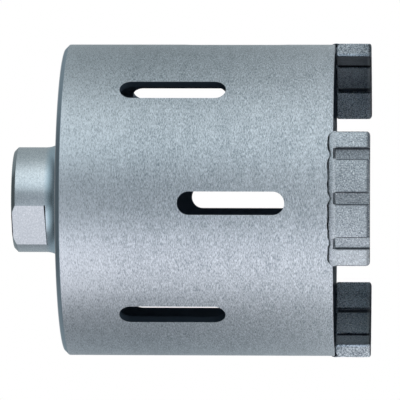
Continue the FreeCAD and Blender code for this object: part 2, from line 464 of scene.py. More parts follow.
def mark_segment(segment, angle, face_shade, unshaded_shares):
    """Measure every point of a segment and keep its painted shade, painted highlight and end."""
    points = [vertex.co for vertex in segment.data.vertices]
    places = [(turn_from(p, angle), math.hypot(p.x, p.y), p.z) for p in points]
    painted_shade = [painted_shade_at(*place, face_shade, unshaded_shares) for place in places]
    painted_highlight = [painted_highlight_at(*place) for place in places]
    end = [end_at(turn, radius) for turn, radius, _ in places]
    for name, values in zip(MARKS, (painted_shade, painted_highlight, end)):
        store(segment, name, values)


for segment, *facts in zip(segments, SEGMENT_ANGLES, INNER_FACE_SHADE, INNER_GROOVE_UNSHADED):
    mark_segment(segment, *facts)
    print(segment.name, "carries", [mark for mark in MARKS if mark in segment.data.attributes])

# %% [markdown]
# Pressed powder is uneven in two sizes: broad waves from the press, and the grit itself. A bump
# would show that on the surface but leave the outline straight. Two Displace modifiers move the
# skin itself instead, each with a clouds texture of its own size.

# %% Roughen the segments
WAVE_SIZE = 3.0 * MM
WAVE_HEIGHT = 0.03 * MM
GRIT_SIZE = 0.4 * MM
GRIT_HEIGHT = 0.07 * MM
SEGMENT_EDGE_ANGLE = 60


def cloud_texture(name, size):
    """Smooth noise for a Displace modifier, with lumps of this size."""
    texture = bpy.data.textures.new(name, "CLOUDS")
    texture.noise_scale = size
    texture.noise_depth = 1
    return texture


def finish_segment(segment, node):
    """Roughen a segment's skin and let it stand for its plain solid."""
    for texture, height in ((pressed_waves, WAVE_HEIGHT), (grit_grains, GRIT_HEIGHT)):
        apply_modifier(
            segment, "DISPLACE", texture=texture, texture_coords="LOCAL",
            strength=height, mid_level=0.5,
        )
    smooth(segment, SEGMENT_EDGE_ANGLE)
    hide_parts(node)
    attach(segment, "root")


pressed_waves = cloud_texture("pressed_waves", WAVE_SIZE)
grit_grains = cloud_texture("grit_grains", GRIT_SIZE)
for segment, node in zip(segments, SEGMENT_NODES):
    finish_segment(segment, node)
print("segment faces", [len(segment.data.polygons) for segment in segments])

# %% [markdown]
# A weld joins each segment to the barrel's rim and leaves a low bead. It could be a bevelled
# curve, but that has the same round section all over, and a real bead is flat along the segment
# and falls to a thin toe on the barrel. So its section is drawn corner by corner: each has a
# radius and a height, from the front of the bead to its toe.

# %% The section of a weld bead
BEAD_REAR = 10.78 * MM
BEAD_FRONT = 8.5 * MM
BEAD_SINK = 0.3 * MM
GROOVE_MOUTH = 9.3 * MM
TOE_WIDTH = 0.42 * MM
TOE_RISE = 0.02 * MM
SHOULDER_RISE = 0.65 * MM
BEAD_SECTION = (
    (SEGMENT_RADIUS - BEAD_SINK, BEAD_FRONT),
    (SEGMENT_RADIUS - 0.03 * MM, BEAD_FRONT),
    (SEGMENT_RADIUS + 0.04 * MM, GROOVE_MOUTH - 0.2 * MM),
    (SEGMENT_RADIUS + 0.03 * MM, BEAD_REAR - 0.9 * MM),
    (SEGMENT_RADIUS - 0.04 * MM, BEAD_REAR - 0.6 * MM),
    (BARREL_RADIUS + SHOULDER_RISE, BEAD_REAR - TOE_WIDTH),
    (BARREL_RADIUS + TOE_RISE, BEAD_REAR),
    (BARREL_RADIUS - BEAD_SINK, BEAD_REAR),
)
print("bead section corners", len(BEAD_SECTION))

# %% [markdown]
# The bead follows the barrel's rim, so the section is spun about the drilling axis in short
# steps, from one end of the segment to the other. A curve and an Array modifier could do the same,
# but Spin needs no helper object and leaves a clean mesh whose normals only need to face out.

# %% Spin the beads
BEAD_NODES = ("weld_bead_1", "weld_bead_2", "weld_bead_3")
BEAD_STEPS = 220


def spin_bead(node, angle):
    """One even weld bead, spun about the axis from its section."""
    bead = add_circle(
        "rippled_" + node, vertices=len(BEAD_SECTION), radius=MM, fill_type="NGON",
    )
    for vertex, (radius, height) in zip(bead.data.vertices, BEAD_SECTION):
        vertex.co = around(radius, angle + SEGMENT_SPAN / 2, height)
    bpy.ops.object.mode_set(mode="EDIT")
    bpy.ops.mesh.select_all(action="SELECT")
    bpy.ops.mesh.spin(
        steps=BEAD_STEPS, angle=math.radians(SEGMENT_SPAN), center=(0, 0, 0), axis=(0, 0, 1),
    )
    bpy.ops.mesh.select_all(action="SELECT")
    bpy.ops.mesh.remove_doubles(threshold=MERGE_DISTANCE)
    bpy.ops.mesh.normals_make_consistent(inside=False)
    bpy.ops.object.mode_set(mode="OBJECT")
    return bead


beads = [spin_bead(node, angle) for node, angle in zip(BEAD_NODES, SEGMENT_ANGLES)]
print("bead faces", [len(bead.data.polygons) for bead in beads])

# %% [markdown]
# The toe of a weld never runs straight: it wanders, dips behind each groove and rounds off at the
# ends. A noise could move it, but not so that the dips meet the grooves. Three sine waves of
# different lengths make the wandering, each bead with its own start, and a smooth dip is added for
# each groove.

# %% How the toe wanders
WANDER = 0.12 * MM
WANDER_COUNTS = (7, 13, 29)
WANDER_SHARES = (0.5, 0.3, 0.2)
WANDER_START = 0.37
GROOVE_DIP = 0.55 * MM
GROOVE_DIP_SPREAD = 1.6
END_ROUNDING = 1.7 * MM


def near_groove(turn, spread):
    """1 in the middle of an outer groove, falling smoothly to 0 over some degrees."""
    return sum(math.exp(-((turn - groove) / spread) ** 2) for groove in OUTER_GROOVES)


def toe_shift(turn, number):
    """How far the toe is moved along the axis at this turn from the bead's middle."""
    share = turn / SEGMENT_SPAN
    shift = -GROOVE_DIP * near_groove(turn, GROOVE_DIP_SPREAD)
    for count, weight in zip(WANDER_COUNTS, WANDER_SHARES):
        wave = math.sin(math.tau * count * (share + WANDER_START * number))
        shift += WANDER * weight * wave
    to_end = math.radians(SEGMENT_SPAN / 2 - abs(turn)) * SEGMENT_RADIUS
    missing = max(0.0, 1 - to_end / END_ROUNDING)
    return shift - END_ROUNDING * (1 - math.sqrt(max(0.0, 1 - missing ** 2)))


print("the toe of bead 1 moves by", round(toe_shift(8.0, 1) / MM, 3), "mm between two grooves")

# %% [markdown]
# Each bead now gets its own toe. Its points could be pulled one by one with proportional editing,
# but a loop moves them all by the same rule, more the nearer they are to the toe, and it keeps the
# mouths of the grooves free. The dark line along the toe fades at the grooves, and that goes into
# an attribute for the material.

# %% Shape the beads
GROOVE_FADE = 0.75
GROOVE_FADE_SPREAD = 1.3
BEAD_EDGE_ANGLE = 50


def shape_bead(bead, node, angle, number):
    """Move the toe, keep how dark its line is, and let the bead stand for its plain solid."""
    toe_line_levels = []
    for vertex in bead.data.vertices:
        turn = turn_from(vertex.co, angle)
        free = in_groove(turn, SEGMENT_RADIUS, OUTER_GROOVES, OUTER_GROOVE_WIDTH)
        if free and vertex.co.z < GROOVE_MOUTH:
            vertex.co.z = GROOVE_MOUTH
        to_toe = max(0.0, (vertex.co.z - GROOVE_MOUTH) / (BEAD_REAR - GROOVE_MOUTH))
        vertex.co.z += to_toe * toe_shift(turn, number)
        toe_line_levels.append(1 - GROOVE_FADE * near_groove(turn, GROOVE_FADE_SPREAD))
    store(bead, "toe_line", toe_line_levels)
    smooth(bead, BEAD_EDGE_ANGLE)
    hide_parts(node)
    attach(bead, "root")


for number, (bead, node, angle) in enumerate(zip(beads, BEAD_NODES, SEGMENT_ANGLES), start=1):
    shape_bead(bead, node, angle, number)
    print(bead.name, "reaches up to", round(max(v.co.z for v in bead.data.vertices) / MM, 2), "mm")

# %% [markdown]
# Every finish of the bit is steel or powder metal with a grain in it. Each material could repeat
# the same nodes, but a node group holds them once. It is made in code with a few helpers: one
# feeds a socket with a number, a colour or another socket, and the others add single nodes.

# %% Node helpers
def feed(tree, socket, value):
    """Give a socket a plain number or colour, or link another socket to it."""
    if isinstance(value, tuple):
        socket.default_value = (*value, 1.0)
    elif isinstance(value, (int, float)):
        socket.default_value = value
    else:
        tree.links.new(value, socket)


def add_math(tree, operation, *values, clamp=False):
    """A Math node whose inputs are sockets or plain numbers."""
    node = tree.nodes.new("ShaderNodeMath")
    node.operation = operation
    node.use_clamp = clamp
    for socket, value in zip(node.inputs, values):
        feed(tree, socket, value)
    return node.outputs[0]


def add_noise(tree, vector, scale, detail, roughness=0.5):
    """Noise between 0 and 1, with lumps about 1 / scale across."""
    node = tree.nodes.new("ShaderNodeTexNoise")
    feed(tree, node.inputs["Vector"], vector)
    feed(tree, node.inputs["Scale"], scale)
    feed(tree, node.inputs["Detail"], detail)
    feed(tree, node.inputs["Roughness"], roughness)
    return node.outputs["Fac"]


def new_group(name, inputs, outputs):
    """A shader node group with named sockets, and its inner entry and exit."""
    group = bpy.data.node_groups.new(name, "ShaderNodeTree")
    for socket_name, kind, default in inputs:
        socket = group.interface.new_socket(name=socket_name, in_out="INPUT", socket_type=kind)
        if default is not None:
            socket.default_value = default
    for socket_name in outputs:
        group.interface.new_socket(
            name=socket_name, in_out="OUTPUT", socket_type="NodeSocketFloat",
        )
    return group, group.nodes.new("NodeGroupInput"), group.nodes.new("NodeGroupOutput")


print("node groups so far:", len(bpy.data.node_groups))

# %% [markdown]
# Close up, the ground, turned, welded and sintered metals all show fine mottles with a broader
# cloudiness under them. A photograph of steel could be laid on, but it would show its seams and
# one size only. Two noises do it at any size: each material first counts the place in grains of
# its own size, and the group reads that and gives back a tone and a height.

# %% The shared grain
FINE_DETAIL = 2.0
FINE_ROUGHNESS = 0.8
BROAD_SCALE = 0.12
BROAD_SHARE = 0.10
GRAIN_MIDDLE = 0.55


def make_grain_group():
    """Grain: a tone around zero and a height, from a place counted in grains."""
    group, entry, leave = new_group(
        "metal_grain",
        (("Vector", "NodeSocketVector", None), ("Contrast", "NodeSocketFloat", 1.0)),
        ("Tone", "Height"),
    )
    fine = add_noise(group, entry.outputs["Vector"], 1.0, FINE_DETAIL, FINE_ROUGHNESS)
    broad = add_noise(group, entry.outputs["Vector"], BROAD_SCALE, 1.0)
    mixed = add_math(group, "MULTIPLY_ADD", broad, BROAD_SHARE, fine)
    centred = add_math(group, "SUBTRACT", mixed, GRAIN_MIDDLE)
    tone = add_math(group, "MULTIPLY", centred, entry.outputs["Contrast"])
    feed(group, leave.inputs["Tone"], tone)
    feed(group, leave.inputs["Height"], fine)
    return group


METAL_GRAIN = make_grain_group()
print(METAL_GRAIN.name, "has", len(METAL_GRAIN.nodes), "nodes")

# %% [markdown]
# On a turned or rolled tool nearly everything changes with the distance from the axis: skin, cut
# walls, inner wall, heat marks. Separate materials on separate faces could show that, but they
# would change the loaded mesh. A group measures the distance instead and gives a mask, so that one
# material can tell the skin from the inside and never slides.

# %% The distance mask
def make_radius_group():
    """1 inside the given radius and 0 outside it, with a narrow soft border."""
    group, entry, leave = new_group(
        "inside_radius",
        (
            ("Vector", "NodeSocketVector", None),
            ("Radius", "NodeSocketFloat", BARREL_RADIUS),
            ("Border", "NodeSocketFloat", 0.1 * MM),
        ),
        ("Inside", "Distance"),
    )
    parts = group.nodes.new("ShaderNodeSeparateXYZ")
    feed(group, parts.inputs[0], entry.outputs["Vector"])
    x_squared = add_math(group, "MULTIPLY", parts.outputs["X"], parts.outputs["X"])
    total = add_math(group, "MULTIPLY_ADD", parts.outputs["Y"], parts.outputs["Y"], x_squared)
    distance = add_math(group, "SQRT", total)
    short = add_math(group, "SUBTRACT", entry.outputs["Radius"], distance)
    inside = add_math(group, "DIVIDE", short, entry.outputs["Border"], clamp=True)
    feed(group, leave.inputs["Inside"], inside)
    feed(group, leave.inputs["Distance"], distance)
    return group


INSIDE_RADIUS = make_radius_group()
print(INSIDE_RADIUS.name, "has", len(INSIDE_RADIUS.nodes), "nodes")

# %% [markdown]
# Each finish of the bit is one Principled BSDF with its plain numbers on its own sockets, because
# some numbers get lost in an export when they are linked. Patterns could read a UV map, but that
# would need unwrapping, and Generated coordinates stretch with the box. Object coordinates are
# plain metres here, and the same for all pieces, because every piece keeps its origin in the
# frame's.

# %% Start a material
def new_material(name, metallic, roughness):
    """A material with its node tree, its shader and the place that patterns read."""
    material = bpy.data.materials.new(name)
    material.use_nodes = True
    tree = material.node_tree
    shader = tree.nodes["Principled BSDF"]
    feed(tree, shader.inputs["Metallic"], metallic)
    feed(tree, shader.inputs["Roughness"], roughness)
    place = tree.nodes.new("ShaderNodeTexCoord").outputs["Object"]
    return material, tree, shader, place


def split(tree, vector):
    """The X, Y and Z of a vector."""
    node = tree.nodes.new("ShaderNodeSeparateXYZ")
    feed(tree, node.inputs[0], vector)
    return node.outputs["X"], node.outputs["Y"], node.outputs["Z"]


print("materials so far:", len(bpy.data.materials))

# %% [markdown]
# All four metals use both groups, each with its own values, and the floor's paint uses the
# distance mask too. The group nodes could be placed and linked by hand in every material, but
# short helpers keep the materials readable: they say only how large the grains are, or where the
# border lies.

# %% Place the groups
def place_group(tree, group, **values):
    """A group node with its inputs fed."""
    node = tree.nodes.new("ShaderNodeGroup")
    node.node_tree = group
    for name, value in values.items():
        feed(tree, node.inputs[name], value)
    return node.outputs


def add_grain(tree, place, sizes, contrast):
    """The shared grain's outputs, for grains of these three sizes in metres."""
    counted = tree.nodes.new("ShaderNodeMapping")
    counted.inputs["Scale"].default_value = [1 / size for size in sizes]
    feed(tree, counted.inputs["Vector"], place)
    return place_group(tree, METAL_GRAIN, Vector=counted.outputs[0], Contrast=contrast)


def inside(tree, place, radius, border):
    """1 inside this radius, falling to 0 over the border that lies within it."""
    return place_group(tree, INSIDE_RADIUS, Vector=place, Radius=radius, Border=border)["Inside"]


def distance_from_axis(tree, place):
    """The distance of the place from the drilling axis, in metres."""
    return place_group(tree, INSIDE_RADIUS, Vector=place)["Distance"]


print("groups to place:", METAL_GRAIN.name, "and", INSIDE_RADIUS.name)

# %% [markdown]
# Steel looks grained in two ways at once: in its colour, and where it breaks up reflections. A
# ColorRamp could do the colour, but a Mix node keeps the two end colours readable in code. These
# last helpers blend colours, read a stored attribute and add a bump.

# %% Colour and bump helpers
def add_mix(tree, factor, first, second):
    """Blend two colours, each a socket or a plain colour."""
    node = tree.nodes.new("ShaderNodeMix")
    node.data_type = "RGBA"
    feed(tree, node.inputs["Factor"], factor)
    feed(tree, node.inputs["A"], first)
    feed(tree, node.inputs["B"], second)
    return node.outputs["Result"]


def toned(tree, tone, dark, bright):
    """A colour that runs from dark to bright as the tone runs from -0.5 to 0.5."""
    factor = add_math(tree, "ADD", tone, 0.5, clamp=True)
    return add_mix(tree, factor, dark, bright)


def stored(tree, name):
    """The value of an attribute that a piece carries."""
    node = tree.nodes.new("ShaderNodeAttribute")
    node.attribute_name = name
    return node.outputs["Fac"]


def add_bump(tree, shader, height, depth, strength):
    """Break up the reflections by a height, of this depth in metres."""
    node = tree.nodes.new("ShaderNodeBump")
    feed(tree, node.inputs["Strength"], strength)
    feed(tree, node.inputs["Distance"], depth)
    feed(tree, node.inputs["Height"], height)
    feed(tree, shader.inputs["Normal"], node.outputs[0])


print("helpers:", [helper.__name__ for helper in (add_mix, toned, stored, add_bump)])

# %% [markdown]
# The barrel is ground all over, which leaves short satin mottles, flattened along the axis. Its
# colour is also painted brighter towards the closed end, a painted highlight for light that falls
# there. A gradient could give that rise, but not its uneven steps. A Float Curve takes pairs of
# height and tone instead, and its tone is added to the grain before the colour is picked.

# %% Barrel steel: the ground skin
STEEL_DARK = (0.247, 0.289, 0.326)
STEEL_BRIGHT = (0.66, 0.71, 0.757)
# Height in millimetres and how much brighter the painted light makes the ground skin there.
PAINTED_LIGHT_BY_HEIGHT = (
    (9, 0.0), (45, 0.0), (55, 0.01), (60, 0.045), (68, 0.165), (72, 0.20), (76, 0.285), (80, 0.47),
)


def add_curve(tree, value, pairs):
    """A smooth curve through pairs of place and level, read at a value socket."""
    start = pairs[0][0]
    length = pairs[-1][0] - start
    top = max(level for _, level in pairs)
    share = add_math(tree, "DIVIDE", add_math(tree, "SUBTRACT", value, start), length)
    curve = tree.nodes.new("ShaderNodeFloatCurve")
    feed(tree, curve.inputs["Value"], share)
    points = curve.mapping.curves[0].points
    while len(points) < len(pairs):
        points.new(0.5, 0.5)
    for point, (place, level) in zip(points, pairs):
        point.location = ((place - start) / length, level / top)
    curve.mapping.update()
    return add_math(tree, "MULTIPLY", curve.outputs[0], top)


def ground_skin(tree, height, tone):
    """The ground skin's colour at this height: its grain's tone plus painted light by height."""
    height_mm = add_math(tree, "DIVIDE", height, MM)
    tone = add_math(tree, "ADD", tone, add_curve(tree, height_mm, PAINTED_LIGHT_BY_HEIGHT))
    return toned(tree, tone, STEEL_DARK, STEEL_BRIGHT)


print("skin tones from", PAINTED_LIGHT_BY_HEIGHT[0], "to", PAINTED_LIGHT_BY_HEIGHT[-1])

# %% [markdown]
# The slots were burnt through the wall, so their edges are nearly black, while the rim was faced
# clean and is grey. Both lie just under the outer skin. Their faces could carry materials of their
# own, but the distance mask finds them without touching the mesh, and the height tells the rim
# from the slots. The chamfer at the closed end lies under the skin too, so it is left out here.

# %% Barrel steel: cut walls and rim
CUT_EDGE_COLOUR = (0.055, 0.08, 0.11)
RIM_COLOUR = (0.42, 0.46, 0.50)
CUT_BORDER = 0.05 * MM
RIM_BORDER = 0.1 * MM
CHAMFER_ROOM = 2 * MM


def cut_walls(tree, place, height):
    """Where the wall is cut through, and the colour of the cut."""
    below_skin = inside(tree, place, BARREL_RADIUS - CUT_BORDER, CUT_BORDER)
    under_chamfer = add_math(tree, "LESS_THAN", height, REAR_FACE - CHAMFER_ROOM)
    at_rim = add_math(tree, "LESS_THAN", height, RIM_HEIGHT + RIM_BORDER)
    cut = add_math(tree, "MULTIPLY", below_skin, under_chamfer)
    return cut, add_mix(tree, at_rim, CUT_EDGE_COLOUR, RIM_COLOUR)


print("cut walls begin", round(CUT_BORDER / MM, 3), "mm under the skin")

# %% [markdown]
# Inside, the tube keeps its dark mill scale. Only a short seat behind the rim was turned clean,
# and between the segments it still shows grey. Behind the segments the seat is painted as dark as
# the scale: painted shade, where the segments shade it. Three masks could find those places, but
# the cosine of three times the angle is high behind each segment and low between them, so one wave
# does.

# %% Barrel steel: the inner wall
SCALE_COLOUR = (0.065, 0.088, 0.12)
INNER_WALL_MARGIN = 0.06 * MM
INNER_WALL_BORDER = 0.03 * MM
SEAT_LENGTH = 3 * MM
SEAT_BORDER = 0.3 * MM
SHADE_START = 0.2
SHADE_BORDER = 0.1


def inner_wall(tree, place):
    """Where the inner wall is, and its colour, with painted shade behind the segments."""
    x, y, height = split(tree, place)
    above_seat = add_math(tree, "SUBTRACT", height, RIM_HEIGHT + SEAT_LENGTH)
    scaled = add_math(tree, "DIVIDE", above_seat, SEAT_BORDER, clamp=True)
    angle = add_math(tree, "ARCTAN2", y, x)
    thrice = add_math(tree, "MULTIPLY_ADD", angle, 3.0, -3 * math.radians(SEGMENT_ANGLES[1]))
    # Painted shade behind each segment, where the cosine of three times the angle is high.
    heat = add_math(tree, "SUBTRACT", add_math(tree, "COSINE", thrice), SHADE_START)
    darkened = add_math(tree, "DIVIDE", heat, SHADE_BORDER, clamp=True)
    dark = add_math(tree, "MAXIMUM", scaled, darkened)
    wall = inside(tree, place, PLATE_RADIUS + INNER_WALL_MARGIN, INNER_WALL_BORDER)
    return wall, add_mix(tree, dark, RIM_COLOUR, SCALE_COLOUR)


print("clean seat", round(SEAT_LENGTH / MM, 1), "mm long")

# %% [markdown]
# A narrow chamfer breaks the edge at the closed end. It is bluer than the ground skin, and a
# painted highlight makes it bright where it meets the end face. A mask on height would do here,
# but not on the hub, whose flats reach up beside its chamfer. On any 45 degree chamfer, radius and
# height add up to the same number all over, so a mask on their sum serves both.

# %% Barrel steel: the chamfer
REAR_CHAMFER = 1.15 * MM
CHAMFER_SKIN = 0.1 * MM
CHAMFER_COLOUR = (0.46, 0.57, 0.65)
EDGE_HIGHLIGHT_WIDTH = 0.22 * MM
EDGE_HIGHLIGHT_COLOUR = (0.93, 0.96, 1.0)


def near_value(tree, value, middle, reach):
    """1 where the value lies within reach of the middle, else 0."""
    gap = add_math(tree, "ABSOLUTE", add_math(tree, "SUBTRACT", value, middle))
    return add_math(tree, "LESS_THAN", gap, reach)


def on_chamfer(tree, place, height, total):
    """1 on the chamfer whose radius and height add up to this total, else 0."""
    slope = add_math(tree, "ADD", distance_from_axis(tree, place), height)
    return near_value(tree, slope, total, CHAMFER_SKIN)


def chamfered(tree, place, height, colour):
    """The colour with the chamfer and the painted highlight on its edge laid over it."""
    chamfer = on_chamfer(tree, place, height, BARREL_RADIUS + REAR_FACE - REAR_CHAMFER)
    colour = add_mix(tree, chamfer, colour, CHAMFER_COLOUR)
    # A painted highlight along the edge where the chamfer meets the end face.
    highlighted = add_math(tree, "GREATER_THAN", height, REAR_FACE - EDGE_HIGHLIGHT_WIDTH)
    return add_mix(tree, highlighted, colour, EDGE_HIGHLIGHT_COLOUR)


print("chamfer", round(REAR_CHAMFER / MM, 2), "mm")

# %% [markdown]
# The finished barrel material lays these effects over each other: skin, cut walls, inner wall and
# chamfer. Several materials would need new faces or slots, and one with masks keeps the loaded
# mesh as it is. The cut walls are also rougher, and the grain gives the skin a faint bump.

# %% Barrel steel
STEEL_ROUGHNESS = 0.36
CUT_ROUGHNESS = 0.7
BARREL_GRAIN = (0.72 * MM, 0.72 * MM, 0.20 * MM)
BARREL_CONTRAST = 3.4
BUMP_DEPTH = 0.02 * MM
BARREL_BUMP = 0.6


def make_barrel_steel():
    """Ground steel, burnt slots, a scaled inside with painted shade, a painted chamfer highlight.
    """
    material, tree, shader, place = new_material("ground_barrel_steel", 1.0, STEEL_ROUGHNESS)
    height = split(tree, place)[2]
    grain = add_grain(tree, place, BARREL_GRAIN, BARREL_CONTRAST)
    cut, cut_colour = cut_walls(tree, place, height)
    wall, wall_colour = inner_wall(tree, place)
    colour = ground_skin(tree, height, grain["Tone"])
    colour = add_mix(tree, cut, colour, cut_colour)
    colour = add_mix(tree, wall, colour, wall_colour)
    feed(tree, shader.inputs["Base Color"], chamfered(tree, place, height, colour))
    rough = add_math(tree, "MULTIPLY_ADD", cut, CUT_ROUGHNESS - STEEL_ROUGHNESS, STEEL_ROUGHNESS)
    feed(tree, shader.inputs["Roughness"], rough)
    add_bump(tree, shader, grain["Height"], BUMP_DEPTH, BARREL_BUMP)
    return material


barrel_steel = make_barrel_steel()
print(barrel_steel.name, "has", len(barrel_steel.node_tree.nodes), "nodes")

# %% [markdown]
# The end plate and hub come off a lathe, which leaves faint rings about the axis. Rings could be
# drawn with a Wave texture, but that makes them all alike. Noise that reads only the distance
# from the axis and the height gives rings of uneven strength on the plate and the hub's side.

# %% Turned steel: rings
RING_MARK_SIZE = 0.3 * MM
RING_MARK_TONE = 0.4
RING_MARK_DETAIL = 2.0
RING_MARK_ROUGHNESS = 0.6


def turning_rings(tree, place, height):
    """Noise between 0 and 1 that is the same all the way round."""
    ring_place = tree.nodes.new("ShaderNodeCombineXYZ")
    feed(tree, ring_place.inputs["X"], distance_from_axis(tree, place))
    feed(tree, ring_place.inputs["Z"], height)
    return add_noise(
        tree, ring_place.outputs[0], 1 / RING_MARK_SIZE, RING_MARK_DETAIL, RING_MARK_ROUGHNESS,
    )


print("ring marks about", round(RING_MARK_SIZE / MM, 2), "mm wide")

# %% [markdown]
# Two flats are milled on the hub for a spanner. They are painted darker than the round side, as
# painted shade, with a black line along their step and at their outer end. Those edges could be
# cut in the mesh, but their shade would be thinner than a dot of the picture, so masks draw it as
# painted shade. The place is first turned until the flats face X: then one distance finds both.
# The step's line is slightly slanted.

# %% Turned steel: the spanner flats
FLATS_ANGLE = 81.2
FLATS_ACROSS = 24.7 * MM
FLATS_LENGTH = 9.0 * MM
FLAT_SKIN = 0.04 * MM
STEP_LINE = 0.4 * MM
STEP_SLANT = -0.026
STEP_RISE = 0.12 * MM
END_LINE = 0.25 * MM


def spanner_flats(tree, place, height):
    """Where the flats are, and where the dark lines on them are."""
    turned = tree.nodes.new("ShaderNodeMapping")
    turned.inputs["Rotation"].default_value = (0, 0, -math.radians(FLATS_ANGLE))
    feed(tree, turned.inputs["Vector"], place)
    x, y, _ = split(tree, turned.outputs[0])
    on_flat = near_value(tree, add_math(tree, "ABSOLUTE", x), FLATS_ACROSS / 2, FLAT_SKIN)
    slanted = add_math(tree, "MULTIPLY_ADD", y, -STEP_SLANT, height)
    in_step = near_value(tree, slanted, HUB_TOP - FLATS_LENGTH + STEP_RISE, STEP_LINE / 2)
    at_end = add_math(tree, "GREATER_THAN", height, HUB_TOP - END_LINE)
    lines = add_math(tree, "MAXIMUM", in_step, at_end)
    return on_flat, add_math(tree, "MULTIPLY", on_flat, lines)


print("flats", round(FLATS_ACROSS / MM, 1), "mm apart")

# %% [markdown]
# Welding the plate to the barrel has warmed the steel, and the fillet round the hub has a blue
# heat tint. It could be painted, but heat colours follow the shape, so two soft masks make it: one
# by distance from the axis, and one by height, multiplied. The hub's chamfer is painted a little
# darker than its side, as painted shade, and is found as the barrel's was.

# %% Turned steel: heat tint and chamfer
HUB_RADIUS = 13.7 * MM
HUB_CHAMFER = 1.0 * MM
# The painted shade on the hub's chamfer.
HUB_CHAMFER_SHADE_COLOUR = (0.46, 0.52, 0.54)
HEAT_TINT = (0.60, 0.76, 0.86)
HEAT_TOP = 84.6 * MM
HEAT_BORDER = 1.5 * MM
HEAT_RADIUS = 19 * MM


def heat_tinted(tree, place, height, colour):
    """The colour with the heat tint and the painted shade of the hub's chamfer laid over it."""
    near_hub = inside(tree, place, HEAT_RADIUS, HEAT_RADIUS - HUB_RADIUS)
    below = add_math(tree, "SUBTRACT", HEAT_TOP, height)
    low = add_math(tree, "DIVIDE", below, HEAT_BORDER, clamp=True)
    colour = add_mix(tree, add_math(tree, "MULTIPLY", low, near_hub), colour, HEAT_TINT)
    chamfer = on_chamfer(tree, place, height, HUB_RADIUS + HUB_TOP - HUB_CHAMFER)
    return add_mix(tree, chamfer, colour, HUB_CHAMFER_SHADE_COLOUR)


print("heat tint up to", round(HEAT_TOP / MM, 1), "mm")

# %% [markdown]
# Turned steel is smoother and brighter than ground steel, so it gets a lower roughness and paler
# colours. Anisotropy could stretch its highlights, but the exported model would lose it where it
# changes over the surface. The rings are put into the tone and the bump instead.

# %% Turned steel
TURNED_ROUGHNESS = 0.23
TURNED_DARK = (0.62, 0.675, 0.72)
TURNED_BRIGHT = (0.88, 0.93, 0.97)
TURNED_GRAIN = (0.5 * MM, 0.5 * MM, 0.45 * MM)
TURNED_CONTRAST = 2.2
# How much darker the flats are painted: painted shade.
FLAT_PAINTED_SHADE = -0.35
STEP_COLOUR = (0.015, 0.018, 0.024)
RING_BUMP = 0.3


def make_turned_steel():
    """Turned steel with faint rings, milled flats in painted shade and a heat-tinted fillet."""
    material, tree, shader, place = new_material("turned_hub_steel", 1.0, TURNED_ROUGHNESS)
    height = split(tree, place)[2]
    grain = add_grain(tree, place, TURNED_GRAIN, TURNED_CONTRAST)
    rings = turning_rings(tree, place, height)
    on_flat, lines = spanner_flats(tree, place, height)
    ring_tone = add_math(tree, "MULTIPLY_ADD", rings, RING_MARK_TONE, -RING_MARK_TONE / 2)
    tone = add_math(tree, "ADD", grain["Tone"], ring_tone)
    tone = add_math(tree, "MULTIPLY_ADD", on_flat, FLAT_PAINTED_SHADE, tone)
    colour = toned(tree, tone, TURNED_DARK, TURNED_BRIGHT)
    colour = heat_tinted(tree, place, height, colour)
    feed(tree, shader.inputs["Base Color"], add_mix(tree, lines, colour, STEP_COLOUR))
    add_bump(tree, shader, rings, BUMP_DEPTH, RING_BUMP)
    return material


turned_steel = make_turned_steel()
print(turned_steel.name, "has", len(turned_steel.node_tree.nodes), "nodes")

# %% [markdown]
# A segment is a grey metal bond that holds the grit. One grey with noise would do from afar, but a
# real segment is bluer and more mottled inside than outside, and rougher on its ends. So there
# are two bonds, mixed by distance from the axis, and the stored "end" attribute strengthens the
# grain on the ends.

# %% Diamond matrix: the bond
BOND_DARK = (0.18, 0.21, 0.24)
BOND_BRIGHT = (0.58, 0.635, 0.68)
INNER_BOND_DARK = (0.168, 0.21, 0.258)
INNER_BOND_BRIGHT = (0.54, 0.635, 0.73)
INNER_DEPTH = 2.6 * MM
INNER_BORDER = 0.3 * MM
INNER_CONTRAST = 2.0
END_CONTRAST = 1.2


def metal_bond(tree, place, tone):
    """The colour of the bond, from the tone of its grain."""
    inner = inside(tree, place, SEGMENT_RADIUS - INNER_DEPTH, INNER_BORDER)
    contrast = add_math(tree, "MULTIPLY_ADD", inner, INNER_CONTRAST, 1.0)
    contrast = add_math(tree, "MULTIPLY_ADD", stored(tree, "end"), END_CONTRAST, contrast)
    tone = add_math(tree, "MULTIPLY", tone, contrast)
    outer_bond = toned(tree, tone, BOND_DARK, BOND_BRIGHT)
    inner_bond = toned(tree, tone, INNER_BOND_DARK, INNER_BOND_BRIGHT)
    return add_mix(tree, inner, outer_bond, inner_bond)


print("the inner bond begins", round(INNER_DEPTH / MM, 1), "mm below the outer face")

# %% [markdown]
# Single diamond crystals stand out of the bond as pale dots. They could be scattered as small
# meshes, but there are thousands of them, each only a fraction of a millimetre across. A Voronoi
# texture has a cell for each: a dot is drawn near a cell's middle, and the cell's own random
# colour decides whether it has one.

# %% Diamond matrix: the crystals
CRYSTAL_COLOUR = (0.78, 0.82, 0.85)
CRYSTAL_CELL = 0.5 * MM
CRYSTAL_SIZE = 0.25
EMPTY_CELLS = 0.7


def diamond_crystals(tree, place):
    """1 on the crystals and 0 on the bond between them."""
    cells = tree.nodes.new("ShaderNodeTexVoronoi")
    feed(tree, cells.inputs["Scale"], 1 / CRYSTAL_CELL)
    feed(tree, cells.inputs["Vector"], place)
    near_middle = add_math(tree, "LESS_THAN", cells.outputs["Distance"], CRYSTAL_SIZE)
    lot = tree.nodes.new("ShaderNodeSeparateColor")
    feed(tree, lot.inputs[0], cells.outputs["Color"])
    chosen = add_math(tree, "GREATER_THAN", lot.outputs[0], EMPTY_CELLS)
    return add_math(tree, "MULTIPLY", near_middle, chosen)


print("a share of", round(1 - EMPTY_CELLS, 1), "of the cells holds a crystal")

